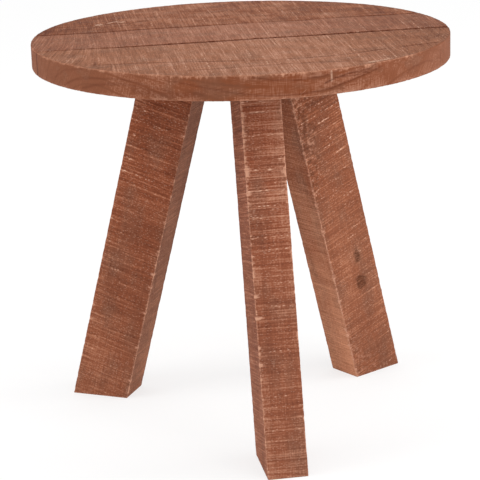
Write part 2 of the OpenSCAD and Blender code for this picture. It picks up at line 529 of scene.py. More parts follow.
# Powder-coated steel: satin black, with the fine orange-peel skin of baked powder
POWDER_COAT = Plain("powder_coated_steel", "#1b1b1d", "#232325", 0.0, 0.48, (0.7, 0.7, 0.7), 0.3)
# Bright zinc plate: cool grey metal, a little milky
BRIGHT_ZINC = Plain("bright_zinc_plate", "#b9bcc0", "#a6aab0", 1.0, 0.34, (1.5, 1.5, 1.5), 0.08)
# Yellow zinc plate: metal with a straw to pink sheen from its passivation
YELLOW_ZINC = Plain("yellow_zinc_plate", "#c9b46f", "#bfa07a", 1.0, 0.32, (2.0, 2.0, 2.0), 0.08)
# Turned brass: warm yellow metal with fine turning lines
TURNED_BRASS = Plain("turned_brass", "#c9a24a", "#b58f3f", 1.0, 0.3, (4.0, 4.0, 0.4), 0.15)
# Planed beech: pale, even wood with short flecks along the dowel
PLANED_BEECH = Plain("planed_beech", "#cfa97a", "#bd9263", 0.0, 0.6, (0.8, 8.0, 0.8), 0.2)


class Relief(NamedTuple):
    """What the saw left on a face, at each point.

    The depth is in millimetres, the ridge and the torn fibre are shares, and the run is the distance
    along the timber, bent so that a line of the saw has one value.
    """

    depth: Array
    ridge: Array
    torn: Array
    run: Array


LEG_DEPTH = 73.0


@dataclass(frozen=True)
class SawMarks:
    """The cross lines that a coarse saw leaves: close fine ones, and stronger ones further apart."""

    seed: int
    pitch: float = 3.1
    strong_pitch: float = 16.5
    fine_depth: float = 0.16
    strong_depth: float = 0.30
    slant: float = 0.0
    swing: float = 0.0
    dash: float = 16.0
    tear: float = 0.6
    lean: float = 0.0

    def relief(self, s: Array, t: Array) -> Relief:
        """Works out the saw lines over a face.

        Args:
            s: Distance along the timber.
            t: Distance across the timber.

        Returns:
            The relief of the face.
        """
        wander = 1.6 * (noise(s / 45, t / 70, seed=self.seed) - 0.5)
        run = s + (self.slant + self.swing * ramp(s, -160, -240)) * t + wander
        line = run / self.pitch
        number = np.floor(line + 0.5)
        uneven = 0.7 * (noise(number * 1.37, seed=self.seed + 7) - 0.5)
        tooth = 0.5 + 0.5 * np.cos(2 * np.pi * (line - uneven))
        lift = noise(number * 1.7, t / (2 * self.dash), seed=self.seed + 1)
        crumbs = noise(run / 1.3, t / 6, seed=self.seed + 2)
        fine = tooth * (0.15 + 0.85 * ramp(lift, 0.15, 0.85)) * 0.75 + crumbs * 0.25
        turn = run / self.strong_pitch
        count = np.floor(turn)
        centre = count + 0.3 + 0.4 * noise(count * 3.1, seed=self.seed + 3)
        off = (turn - centre) * self.strong_pitch
        press = ramp(noise(count * 5.3, t / self.dash, seed=self.seed + 4), 0.3, 0.8)
        press = press * (0.3 + 0.7 * ramp(noise(s / 2, t / 5, seed=self.seed + 5), 0.3, 0.6))
        press = press * (1 + self.lean * (2 * t / LEG_DEPTH - 1))
        strong = np.exp(-((off / 0.9) ** 2)) * press
        kerf = np.exp(-(((off - 2.0) / 0.8) ** 2)) * press
        depth = self.fine_depth * (1 - fine) + self.strong_depth * (1 - strong + kerf) * 0.5
        return Relief(depth, np.clip(fine + 0.7 * strong - 0.6 * kerf, 0, 1), self.tear * strong, run)


@dataclass(frozen=True)
class Seam:
    """A glued seam between two boards: a straight line that the boards' torn edges leave a little.

    The curves give a value at distances along the boards, from left to right.
    """

    offset: float
    groove: float
    wave: Curve
    strength: Curve
    seed: int
    gap: float = 0.1

    def line(self, x: Array) -> Array:
        """Gives the seam's place across the boards at each distance along them."""
        return self.offset + along(self.wave, x)

    def cut(self, x: Array, away: Array) -> tuple[Array, Array]:
        """Works out the open groove over the seam.

        Args:
            x: Distance along the boards.
            away: Distance from the seam's line, positive behind it.

        Returns:
            The groove's depth and its darkness at each point: dark stain in the joint, with painted shade in
            the groove and in a band mostly in front of it.
        """
        nicks = noise(x / 7, seed=self.seed) + 0.6 * noise(x / 2.3, seed=self.seed + 1)
        force = along(self.strength, x) * (0.6 + 0.5 * nicks)
        share = np.clip(1 - np.abs(away) / (self.groove * (0.5 + 0.6 * force)), 0, 1)
        # Darkness in the groove: dark stain in the joint and painted shade
        dark_and_painted_shade = np.clip(1.5 * force * ramp(share, 0.0, 0.3), 0, 1)
        # A soft dark band reaching in front of the seam: painted shade
        stain = 0.5 * force * ramp(away, -8, -1) * ramp(away, 3.5, 0)
        depth = 0.9 * self.groove * np.minimum(force, 1.2) * np.minimum(1.6 * share, 1)
        return depth, np.maximum(dark_and_painted_shade, stain)


FRONT_SEAM = Seam(
    offset=-37.0,
    groove=3.1,
    wave=(
        (-246, 0), (-222, 2.2), (-196, 1.8), (-172, 0.8), (-156, -0.6), (-116, -1), (-90, -0.3),
        (-60, -0.8), (-36, -1.2), (-10, -0.5), (12, 0.9), (30, 0), (56, -0.8), (96, -0.9), (136, 0.3),
        (176, 0.8), (216, 1), (246, 0),
    ),
    strength=(
        (-245, 0.15), (-205, 0.3), (-165, 0.6), (-140, 1.1), (-110, 1.3), (-30, 1.25), (40, 1.45),
        (170, 1.4), (245, 1.0),
    ),
    seed=21,
)
BACK_SEAM = Seam(
    offset=70.0,
    groove=1.7,
    wave=(
        (-239, 0), (-210, -0.5), (-190, -1), (-170, -3.2), (-156, -2.8), (-140, -1), (-116, 1),
        (-100, 1.4), (-60, 0.5), (30, 0), (60, -1.4), (96, -2.4), (110, -0.5), (150, 0.5), (190, -1.8),
        (216, -1), (239, 0),
    ),
    strength=(
        (-245, 0.6), (-130, 1.0), (-60, 0.8), (0, 0.6), (10, 0.3), (80, 0.4), (94, 1.3), (108, 0.4),
        (170, 0.8), (245, 0.8),
    ),
    seed=27,
)

# The top's sizes, from the frame, with the rim just inside the CAD's
TOP_Z = CAD_BOX[1].z / MM
UNDER_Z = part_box("board_front")[0].z / MM
TOP_R = (CAD_BOX[1].x - CAD_BOX[0].x) / 2 / MM - 0.05
# The boards' turn against the line square to the front leg
BOARD_TURN = math.radians(0.5)
# How pale and how chipped the upper front arris is, from left to right
ARRIS_WEAR: Curve = (
    (-250, 0.9), (-120, 0.9), (-30, 0.7), (0, 1.0), (150, 1.0), (175, 0.4), (200, 0.1), (250, 0.1),
)
ARRIS_CHIPS: Curve = ((-250, 0.1), (-140, 0.3), (-90, 1.0), (100, 1.0), (140, 0.3), (170, 0.0), (250, 0.0))
# How far the rim's lower arris has worn, how far painted sheen and side light make the rim paler towards its
# ends, and how light it is
LOWER_WEAR: Curve = ((-250, 0.5), (-60, 0.5), (-30, 1.0), (70, 1.0), (110, 0.5), (250, 0.5))
RIM_PAINTED_SHEEN: Curve = ((-250, 0.35), (-170, 0.2), (-60, 0.0), (60, 0.0), (140, 0.16), (200, 0.3), (250, 0.35))
RIM_TONE: Curve = (
    (-250, -0.06), (-211, -0.12), (-184, -0.05), (-150, 0.0), (-115, -0.03), (-54, -0.06), (-33, -0.05),
    (-8, 0.01), (33, 0.0), (54, 0.04), (75, 0.10), (96, 0.10), (115, 0.03), (134, -0.05), (152, -0.04),
    (169, 0.0), (190, -0.07), (211, -0.04), (231, -0.13), (250, -0.20),
)


@dataclass(frozen=True)
class Check:
    """A drying crack or a torn growth line in a board's face, along a line from left to right."""

    line: Curve
    wide: float
    depth: float
    ragged: float
    dark: float
    seed: int
    pale: float = 0.0
    whole: float = 0.0

    def cut(self, x: Array, y: Array) -> tuple[Array, Array, Array]:
        """Works out the crack's groove.

        Args:
            x: Distance along the boards.
            y: Distance across the boards.

        Returns:
            Its depth, its darkness, partly painted shade in the crack and painted shade in the pits beside
            it, and the pale splinters beside it, at each point.
        """
        zigzag = self.ragged * (noise(x / 9, seed=self.seed) - 0.5) * 2
        away = y - along(self.line, x) - zigzag
        start, end = self.line[0][0], self.line[-1][0]
        ends = ramp(x, start, start + 12) * ramp(x, end, end - 12)
        force = ends * (0.45 + 0.55 * noise(x / 12, seed=self.seed + 1))
        core = np.exp(-((away / self.wide) ** 2)) * force
        near = np.exp(-((away / (3.2 * self.wide)) ** 2)) * ends * self.pale
        chips = near * np.maximum(ramp(noise(x / 9, away / 3.2, seed=self.seed + 2), 0.62, 0.74), self.whole)
        # Pits beside the splinters, sunk and darkened: painted shade
        pits = near * ramp(noise(x / 16, away / 5, seed=self.seed + 3), 0.35, 0.7)
        return self.depth * (core + 0.5 * pits), np.maximum(self.dark * core, 0.5 * pits) * (1 - chips), chips


@dataclass(frozen=True)
class RimMark:
    """A thin drying crack or a rubbed spot in the rim, as a line of angles in degrees and heights."""

    line: Curve
    wide: float
    dark: float = 0.0
    pale: float = 0.0

    def share(self, angle: Array, height: Array, radius: float) -> Array:
        """Works out how close each point of the rim is to the mark.

        Args:
            angle: Angle about the table.
            height: Height over the underside.
            radius: The rim's radius.

        Returns:
            One share for each point.
        """
        nearest = np.full(len(angle), 99.0)
        for (a0, z0), (a1, z1) in zip(self.line, self.line[1:]):
            reach, rise = math.radians(a1 - a0) * radius, z1 - z0
            x, z = (angle - math.radians(a0)) * radius, height - z0
            t = np.clip((x * reach + z * rise) / (reach * reach + rise * rise), 0, 1)
            nearest = np.minimum(nearest, np.hypot(x - t * reach, z - t * rise))
        ripple = 0.75 + 0.5 * noise(angle * radius / 4, height / 4, seed=83)
        return np.exp(-((nearest / (self.wide * ripple)) ** 2))


RIM_MARKS = (
    RimMark(((-79, 14), (-76, 18.5), (-72, 21.5), (-66, 22.5)), 0.9, dark=0.75),
    RimMark(((-76, 18.5), (-71, 18.0), (-66.5, 20.5)), 0.7, dark=0.6),
    RimMark(((-117.5, 22), (-110, 16), (-102.5, 9.8), (-95, 4.8), (-86, 4.1)), 0.9, dark=0.38),
    RimMark(((-86, 4.1), (-77.5, 7.3), (-72.5, 12.9), (-66, 19), (-62, 23.5)), 0.8, dark=0.55),
    RimMark(((-97.5, 26), (-92.5, 21.6), (-86, 20), (-79, 22), (-75, 27)), 0.8, dark=0.45),
    RimMark(((-34.3, 22), (-34.0, 3)), 0.5, dark=0.6),
    RimMark(((-171.5, 25), (-171.2, 12)), 0.5, dark=0.5),
    RimMark(((-77.3, 27), (-77.2, 15)), 1.8, pale=0.75),
    RimMark(((-86, 2), (-84, 9)), 0.9, pale=0.6),
    RimMark(((-128, 9), (-119, 6), (-110, 8)), 4.0, dark=0.28),
    RimMark((
        (-152.5, 4.7), (-147.5, 13.5), (-141, 17.9), (-132.5, 20.4), (-127.5, 18.5), (-120, 12.2),
        (-112.5, 4.8),
    ), 1.2, dark=0.3),
    RimMark((
        (-145, 4.8), (-140, 11), (-132.5, 15.4), (-127.5, 14), (-120, 7.9), (-117.5, 4.8),
    ), 1.5, dark=0.3),
    RimMark(((-157.5, 9.8), (-152.5, 21), (-145, 26.6)), 1.2, dark=0.22),
    RimMark(((-56, 4.8), (-50, 13.5), (-43.8, 16), (-38.8, 12.2)), 1.2, dark=0.25),
)


class BoardPlace(Enum):
    """Where a board lies in the top."""

    FRONT = "board_front"
    MIDDLE = "board_middle"
    BACK = "board_back"


@dataclass(frozen=True)
class Board:
    """One board of the round top, with saw lines, worn arrises and the open grooves of its seams."""

    place: BoardPlace
    seams: tuple[Seam, ...]
    seed: int
    tone: Curve
    rings: Rings
    stain: Stain
    cloud: float = 0.35
    checks: tuple[Check, ...] = ()
    flaws: tuple[RimMark, ...] = ()
    radius: float = TOP_R
    thick: float = TOP_Z - UNDER_Z
    columns: int = 490
    rows: int = 118
    under_rows: int = 14
    rim_rows: int = 19
    crowd: float = 0.62
    arris: float = 1.1
    droop: float = 1.2
    marks: SawMarks = SawMarks(
        1, pitch=4.4, strong_pitch=13.0, fine_depth=0.13, strong_depth=0.24, slant=-0.05, swing=-0.2,
        dash=60.0, tear=0.62,
    )

    def finish(self) -> SawnWood:
        """Gives the board's finish, with its rings measured from the upper face."""
        return SawnWood(
            f"stained_{self.place.name.lower()}_board", (0, 0, TOP_Z * MM), (0, 0, BOARD_TURN), self.rings,
            self.stain, Figure(
                lines=0.55, dashes=0.62, grit=0.7, bands=0.4, ridge=0.15, fibre=0.06, late=0.05, rings=0.16,
                cloud=self.cloud, specks=0.7, cuts=0.2, rim=0.35, line_mm=1.7, reach_mm=90.0, dash_mm=30.0,
                grit_mm=6.0,
            ), torn="#c9a088", bare="#c58f74", smooth="#7c4329", blotch_mm=45.0,
        )

    def plan(self, u: Array, v: Array) -> tuple[Array, Array]:
        """Lays a square grid over the board's plan, with its rows drawn closer together by the edges.

        Args:
            u: Place along the board, from -1 to 1.
            v: Place across the board, from -1 at the front to 1 at the back.

        Returns:
            The distances along and across the boards.
        """
        share = (1 + v + self.crowd * np.sin(np.pi * v) / np.pi) / 2
        first, last = self.seams[0], self.seams[-1]
        x = u * np.sqrt(self.radius**2 - (first.offset + share * (last.offset - first.offset)) ** 2)
        rim = np.sqrt(np.maximum(self.radius**2 - x * x, 0))
        front, back = -rim, rim
        if self.place is not BoardPlace.FRONT:
            front = np.minimum(first.line(x) + first.gap, rim)
        if self.place is not BoardPlace.BACK:
            back = np.maximum(last.line(x) - last.gap, -rim)
        return x, front + share * (back - front)

    def block(self) -> bmesh.types.BMesh:
        """Makes the plain board: a grid above, a grid below and walls between, with z from 0 to 1.

        Returns:
            The board's mesh.
        """
        bm = bmesh.new()
        middle = self.place is BoardPlace.MIDDLE
        wide_rows = self.rows // 2 if middle else self.rows
        for rows, height in ((wide_rows if middle else self.under_rows, 0.0), (wide_rows, 1.0)):
            made = bmesh.ops.create_grid(bm, x_segments=self.columns, y_segments=rows, size=1)["verts"]
            grid = np.array([vert.co for vert in made])
            for vert, x, y in zip(made, *self.plan(grid[:, 0], grid[:, 1])):
                vert.co = (x, y, height)
            if not height:
                lower = dict.fromkeys(face for vert in made for face in vert.link_faces)
                bmesh.ops.reverse_faces(bm, faces=list(lower))
        bmesh.ops.remove_doubles(bm, verts=bm.verts, dist=1e-4)
        outline = [edge for edge in bm.edges if edge.is_boundary]
        walls = bmesh.ops.bridge_loops(bm, edges=outline)["faces"]
        edges = dict.fromkeys(edge for face in walls for edge in face.edges)
        upright = [e for e in edges if abs(e.verts[0].co.z - e.verts[1].co.z) > 0.5]
        rim = [e for e in upright if all(math.hypot(*v.co.xy) > self.radius - 0.05 for v in e.verts)]
        bmesh.ops.subdivide_edges(bm, edges=rim, cuts=self.rim_rows, use_grid_fill=True)
        bmesh.ops.recalc_face_normals(bm, faces=bm.faces)
        return bm

    def cuts(self, x: Array, y: Array, upper: Array, lower: Array) -> tuple[Relief, Array, Array, Array]:
        """Works out what the saw, the seams and the cracks left in the board's faces.

        Args:
            x: Distance along the boards.
            y: Distance across the boards.
            upper: Whether a point lies on the upper face.
            lower: Whether it lies on the lower one.

        Returns:
            The saw's relief, the whole depth, the darkness, which holds painted shade in seams and cracks,
            and the torn fibre at each point.
        """
        faces = zip(self.marks.relief(x, y), SawMarks(self.seed + 40, slant=0.05, dash=60.0).relief(x, y))
        relief = Relief(*[np.where(upper, above, np.where(lower, below, 0)) for above, below in faces])
        torn = relief.torn * (0.35 + 0.65 * ramp(x, -210, -140))
        sink, dark = relief.depth, np.zeros(len(x))
        for seam in self.seams:
            away = y - seam.line(x)
            groove, dark_and_painted_shade = seam.cut(x, away)
            away = np.abs(away)
            sink = sink + np.where(upper, groove, np.where(lower, 0.4 * np.clip(1 - away, 0, 1), 0))
            # Seams darken with dark stain and painted shade in the groove above, and in a line under the
            # joint below
            dark = np.maximum(dark, np.where(upper, dark_and_painted_shade, 0.7 * ramp(away, 0.9, 0.2)))
        for check in self.checks:
            groove, dark_and_painted_shade, chips = [np.where(upper, value, 0) for value in check.cut(x, y)]
            sink, dark, torn = sink + groove, np.maximum(dark, dark_and_painted_shade), np.maximum(torn, chips)
        return relief, sink, dark, torn

    def rubbed(
        self, x: Array, y: Array, edge: Array, high: Array, hang: Array, teeth: Array, nibble: Array,
    ) -> Array:
        """Works out where the arrises are rubbed pale, in a ragged strip that hangs down the rim.

        Args:
            x: Distance along the boards.
            y: Distance across the boards.
            edge: Distance from the nearest arris.
            high: Whether a point lies nearer to the upper arris.
            hang: How far the strip's teeth hang down the rim, as a share.
            teeth: The coarse unevenness along the arris.
            nibble: The fine unevenness along the arris.

        Returns:
            One share for each point.
        """
        front = np.where(y < 0, x, self.radius)
        strip = 0.6 + 1.6 * ramp(teeth, 0.4, 0.95) + 0.8 * nibble
        strip = strip + 3.4 * along(ARRIS_CHIPS, front) * high * hang
        wear = ramp(np.minimum(edge, 50), strip, 0.35 * strip) * (0.4 + 0.6 * nibble)
        return wear * np.where(high, along(ARRIS_WEAR, front), along(LOWER_WEAR, x))

    def build(self) -> bpy.types.Object:
        """Makes the board with its relief and its marks.

        Returns:
            The board's object.
        """
        piece = new_piece(self.block(), self.place.value + "_sawn", self.finish().make())
        x, y, z = points_of(piece.data)
        radius, angle = np.hypot(x, y), np.arctan2(y, x)
        way = angle * self.radius
        upper, lower = z > 1 - NEAR, z < NEAR
        face = upper | lower
        height = np.where(upper, self.thick, z * self.thick)
        high = height > self.thick / 2
        relief, sink, dark, torn = self.cuts(x, y, upper, lower)
        for flaw in self.flaws:
            here = np.where(face, 0, flaw.share(angle, height, self.radius))
            dark, torn = np.maximum(dark, flaw.dark * here), np.maximum(torn, flaw.pale * here)

        # The faces sink, and the arrises are rounded and chipped
        teeth, nibble = noise(way / 4.5, seed=self.seed + 7), noise(way / 1.4, seed=self.seed + 8)
        rough = 1 + 0.9 * along(ARRIS_CHIPS, np.where(y < 0, x, self.radius)) * high
        worn = self.arris * (0.6 + 0.5 * teeth + 0.5 * nibble) * rough
        turned = 0.08 * noise(way / 1.1, height / 40, seed=self.seed + 9)
        rim = np.maximum(self.radius - radius, 0) + np.where(face, 0, turned)
        bound = np.where(face, 0, np.minimum(height, self.thick - height))
        swept = way - height * (0.6 * ramp(x, -120, -200) + 1.0 * ramp(x, 110, 180))
        inward, down = round_over(rim, bound, worn)
        down = np.where(face, down + sink * ramp(rim, 0, 1.2) + np.where(rim < 1.2, 0.3 * sink, 0), down)
        z = UNDER_Z + np.where(high, self.thick - down, down) - self.droop * ramp(y, 120, 250)
        scale = (self.radius - inward) / np.maximum(radius, 1e-6)
        x, y = x * scale, y * scale
        turn_c, turn_s = math.cos(BOARD_TURN), math.sin(BOARD_TURN)
        points = np.stack([turn_c * x - turn_s * y, turn_s * x + turn_c * y, z], 1)

        hang = ramp(noise(way / 1.5, seed=self.seed + 10) * (0.4 + 0.6 * teeth), 0.25, 0.7)
        wear = self.rubbed(x, y, np.hypot(rim, bound), high, np.where(face, 0, hang), teeth, nibble)
        set_points(piece.data, points, {
            "run": np.where(face, relief.run, swept),
            "round": np.where(face, y, height),
            "ridge": np.where(face, relief.ridge, 0.5),
            "torn": torn,
            "wear": wear * (1 - dark),
            "dark": dark,
            "sawn": np.where(face, ramp(rim, 0.2, 2.0), 0),
            "tone": np.where(face, along(self.tone, x), along(RIM_TONE, x) + 0.05 * ramp(height, 7, 2)),
            # Painted sheen: the rim turns paler and greyer towards its ends
            "grey_dust_and_sheen": np.where(face, 0, along(RIM_PAINTED_SHEEN, x)),
        })
        return settle(piece, self.place.value)


BOARDS = (
    Board(
        BoardPlace.FRONT, (FRONT_SEAM,), 101,
        ((-245, -0.08), (-150, -0.01), (0, 0.08), (80, 0.05), (150, -0.08), (200, -0.16), (245, -0.20)),
        Rings(-200, -46, 8.1, 0.00105, 10, 4.1), ("#956147", "#6e422e", "#bb8971"),
        checks=(
            Check((
                (-195, -136), (-170, -137.5), (-137, -141.7), (-100, -148), (-60, -158), (-25, -167),
                (5, -171), (35, -172), (60, -170.5), (85, -166), (123, -155), (163, -142.5), (215, -127),
            ), 1.9, 0.8, 0.8, 0.75, 31),
            Check((
                (-105, -202), (-60, -200), (-20, -198.5), (17, -198.5), (45, -200), (70, -203), (112, -214),
            ), 2.0, 0.6, 0.8, 0.65, 33),
            Check(((100, -99), (140, -97), (190, -93), (215, -86), (236, -76)), 1.6, 0.2, 1.5, 0.2, 43),
            Check(((92, -223.5), (116, -213.9), (140, -202.5)), 1.1, 0.2, 0.6, 0.0, 37, pale=1.0, whole=0.65),
            Check((
                (204, -109), (220, -88.6), (232, -53.7), (240, -21.4), (246, 7.5),
            ), 2.6, 0.3, 1.0, 0.5, 39),
            Check((
                (194, -107), (210, -87.4), (222, -53.2), (232, -12.2), (240, 28.9),
            ), 2.4, 0.2, 1.0, 0.35, 41),
        ),
        flaws=RIM_MARKS,
    ),
    Board(
        BoardPlace.MIDDLE, (FRONT_SEAM, BACK_SEAM), 202,
        ((-245, -0.08), (-150, -0.01), (0, 0.07), (80, 0.05), (150, -0.05), (200, -0.11), (245, -0.15)),
        Rings(20, -90, 7.5, 0.0003, -20), ("#915d46", "#6b3f2e", "#b8856e"),
    ),
    Board(
        BoardPlace.BACK, (BACK_SEAM,), 303,
        ((-245, -0.18), (-170, -0.08), (-100, 0.06), (0, 0.05), (70, 0.03), (110, -0.03), (150, -0.01),
         (245, -0.05)),
        Rings(150, -60, 7.0, -0.0004, 0), ("#885137", "#5c2f20", "#b27d63"), cloud=0.8,
        checks=(
            Check(((-169, 120), (-143, 121.5)), 1.7, 0.6, 3.0, 0.6, 35, pale=1.2, whole=0.6),
            Check(((-152, 132), (-116, 133)), 1.0, 0.6, 5.0, 0.6, 36, pale=1.2, whole=0.4),
            Check(((-222, 115), (-190, 117), (-150, 119), (-100, 127), (-84, 128)), 2.4, 0.6, 5.0, 0.6, 47),
            # A wide, shallow dark band in front of the torn splinters: painted shadow
            Check(((-212, 96), (-180, 100), (-120, 104), (-96, 103)), 4.0, 0.3, 5.0, 0.5, 45),
        ),
    ),
)


@dataclass(frozen=True)
class Knot:
    """A dark knot in one side of a leg."""

    along: float
    across: float
    half_long: float
    half_wide: float

    def darkness(self, s: Array, t: Array) -> Array:
        """Works out the knot's darkness, with its ring.

        Args:
            s: Distance up the leg.
            t: Distance across the leg's side, outwards.

        Returns:
            One share for each point.
        """
        ripple = 0.3 * (noise(s / 3, t / 3, seed=71) - 0.5) + 0.1 * (noise(s / 1.1, t / 1.1, seed=72) - 0.5)
        far = np.hypot((s - self.along) / self.half_long, (t - self.across) / self.half_wide) + ripple
        rings = 0.5 + 0.5 * np.cos(2 * np.pi * (far - 0.85) / 0.36)
        core = ramp(far, 1.12, 0.9) * (0.48 + 0.34 * rings)
        halo = 0.22 * ramp(far, 1.9, 1.0) * noise(s / 4, t / 2, seed=73)
        return np.clip(np.maximum(core, halo), 0, 1)


@dataclass(frozen=True)
class TornPatch:
    """A part of a face where the saw tore the grain: short hollows along the leg with pale, raised chips.

    It runs between two heights and keeps to one side of a line that joins the two reaches.
    """

    low: float
    high: float
    reach_low: float
    reach_high: float
    force: float
    seed: int

    def lumps(self, s: Array, gap: Array) -> tuple[Array, Array]:
        """Works out the patch's hollows and its raised chips.

        Args:
            s: Distance up the leg.
            gap: Distance from the arris that the patch starts at.

        Returns:
            The hollow and the chip at each point, as shares.
        """
        reach = np.interp(s, [self.low, self.high], [self.reach_low, self.reach_high])
        reach = reach * (0.6 + 0.8 * noise(s / 14, seed=self.seed))
        ends = ramp(s, self.low, self.low + 14) * ramp(s, self.high + 14, self.high)
        share = self.force * ramp(gap, reach + 3, reach - 3) * ends
        broad = noise(s / 4.5, gap / 3.6, seed=self.seed + 1)
        fine = noise(s / 2.0, gap / 1.8, seed=self.seed + 2)
        hollow = share * ramp(0.65 * broad + 0.35 * fine, 0.5, 0.7)
        chip = share * ramp(0.5 * noise(s / 2.6, gap / 3.4, seed=self.seed + 3) + 0.5 * fine, 0.54, 0.66)
        return hollow, chip * (1 - hollow)


def toothed(low: Curve, peaks: Curve, half: float = 2.6) -> Curve:
    """Makes a curve that stays low and has a flat tooth at each of the given places.

    Args:
        low: The values between the peaks.
        peaks: Place and height of each tooth.
        half: Half the width of a tooth's foot, in millimetres.

    Returns:
        The curve's points.
    """
    feet = [(place + step, float(along(low, place + step))) for place, _ in peaks for step in (-half, half)]
    tops = [(place + step, high) for place, high in peaks for step in (-half / 2, half / 2)]
    return tuple(sorted(feet + tops))


class LegPlace(Enum):
    """A leg's name, and its angle about the table in degrees, anticlockwise from the front."""

    FRONT = ("front", 0.0)
    RIGHT = ("right", 120.0)
    LEFT = ("left", 240.0)

    @property
    def word(self) -> str:
        """The leg's word in the nodes' names."""
        return self.value[0]

    @property
    def angle(self) -> float:
        """The leg's angle in radians."""
        return math.radians(self.value[1])


@dataclass(frozen=True)
class Side:
    """One side of a leg: its saw lines, how light it is up the leg and across, partly stain and partly
    painted shade and light, and how far painted sheen greys it.
    """

    marks: SawMarks
    tone: Curve = ((0, 0.0),)
    tilt: float = 0.0
    grey_dust_and_sheen: float = 0.0


PLAIN_ARRIS: Curve = ((0, 0.4),)


@dataclass(frozen=True)
class Leg:
    """A straight, rough-sawn leg that leans outwards and is cut level at both ends.

    Its sides are the two broad ones, then the outer and the inner one. Its arrises are the inner and
    the outer one of the second broad side, then those of the first.
    """

    place: LegPlace
    seed: int
    stain: Stain
    figure: Figure
    sides: tuple[Side, ...]
    worn: tuple[Curve, ...]
    calm: Curve
    inner_calm: float = 0.7
    knots: tuple[Knot, ...] = ()
    patches: tuple[TornPatch, ...] = ()
    band: float = 0.0
    band_high: float = 235.0
    width: float = 48.0
    depth: float = LEG_DEPTH
    splay: float = math.radians(15.0)
    cuts: tuple[int, int, int] = (27, 39, 580)
    crowd: float = 0.72
    arris: float = 0.9

    def finish(self) -> SawnWood:
        """Gives the leg's finish.

        Returns:
            The finish, with its grain along the leg.
        """
        foot, *axes = self.axes()
        turn = Matrix(axes).transposed().to_euler("XYZ")
        return SawnWood(
            f"stained_leg_{self.place.word}", tuple(foot * MM), tuple(turn),
            Rings(-70, 45, 8.0, 0.00012, 200), self.stain, self.figure, torn="#e0b59c", bare="#c8957b",
            smooth="#84543f", dark_and_painted_shade="#4a2818",
        )

    def axes(self) -> tuple[Vector, Vector, Vector, Vector]:
        """Gives the leg's own frame.

        Returns:
            The middle of the foot in millimetres, and the directions up the leg, outwards and across.
        """
        foot_r = -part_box("leg_front")[0].y / MM - self.depth / math.cos(self.splay) / 2
        outwards = Vector((math.sin(self.place.angle), -math.cos(self.place.angle), 0))
        across = Vector((math.cos(self.place.angle), math.sin(self.place.angle), 0))
        lean_c, lean_s = math.cos(self.splay), math.sin(self.splay)
        up = Vector((0, 0, lean_c)) - outwards * lean_s
        out = outwards * lean_c + Vector((0, 0, lean_s))
        return outwards * foot_r, up, out, across

    def block(self) -> bmesh.types.BMesh:
        """Makes the plain leg as a finely divided cube from -0.5 to 0.5.

        Returns:
            The leg's mesh.
        """
        bm = bmesh.new()
        bmesh.ops.create_cube(bm, size=1)
        for axis, cuts in enumerate(self.cuts):
            edges = [e for e in bm.edges if abs(e.verts[0].co[axis] - e.verts[1].co[axis]) > 0.5]
            bmesh.ops.subdivide_edges(bm, edges=edges, cuts=cuts, use_grid_fill=True)
        return bm

    def spread(self, share: Array) -> Array:
        """Draws the points of a face closer together by its arrises."""
        return share + self.crowd * np.sin(2 * np.pi * share) / (2 * np.pi)

    def reach(self, z: Array, o: Array) -> Array:
        """Gives the distance up the leg of points at a height and an outward distance from the axis."""
        return (z - o * math.sin(self.splay)) / math.cos(self.splay)

    def sawn(self, a: Array, o: Array, s: Array, faces: tuple[Array, ...]) -> tuple[Relief, Array, Array]:
        """Works out the saw's lines and the tone, partly stain and partly painted shade and light, side by
        side.

        Args:
            a: Distance across the leg from its axis.
            o: Distance outwards from its axis.
            s: Distance up the leg.
            faces: Whether a point lies on each of the sides.

        Returns:
            The relief, the distance around the leg and the tone at each point, partly painted shade and
            light.
        """
        places = (o + self.depth / 2, self.depth / 2 - o, self.width / 2 - a, a + self.width / 2)
        starts = (0.0, self.depth + self.width, self.depth, 2 * self.depth + self.width)
        spans = (self.depth, self.depth, self.width, self.width)
        relief = Relief(*np.zeros((4, len(a))))
        around, tone = np.zeros((2, len(a)))
        for side, here, t, start, span in zip(self.sides, faces, places, starts, spans):
            own = side.marks.relief(s, t)
            relief = Relief(*[np.where(here, new, old) for new, old in zip(own, relief)])
            around = np.where(here, start + t, around)
            tone = np.where(here, along(side.tone, s) + side.tilt * (t / span - 0.5), tone)
        return relief, around, tone

    def rubbed(
        self, s: Array, edge: Array, chips: Array, catch: Array, teeth: Array, nibble: Array,
    ) -> Array:
        """Works out where the arrises are rubbed pale, most where they are chipped.

        Args:
            s: Distance up the leg.
            edge: Distance from the nearest arris.
            chips: How far the arris has worn there.
            catch: How easily the side's relief is rubbed.
            teeth: The coarse unevenness along the arris.
            nibble: The fine unevenness along the arris.

        Returns:
            One share for each point.
        """
        sure = ramp(chips, 1.4, 2.3)
        strip = chips * (0.6 + 2.8 * np.maximum(ramp(teeth, 0.45, 0.95), 0.6 * sure) + 1.1 * nibble)
        chipped = sure * (0.5 + 0.45 * noise(s / 1.2, edge / 3, seed=self.seed + 66))
        bare = np.maximum(ramp(nibble + 0.3 * teeth, 0.3, 0.9), chipped)
        line = ramp(chips, 0.8, 1.3) * ramp(edge, 1.6, 0.7) * (0.5 + 0.5 * ramp(nibble, 0.3, 0.6))
        strip = ramp(edge, strip, 0.4 * strip) * (0.25 + 0.75 * bare)
        return np.maximum(strip * np.maximum(catch, sure), line)

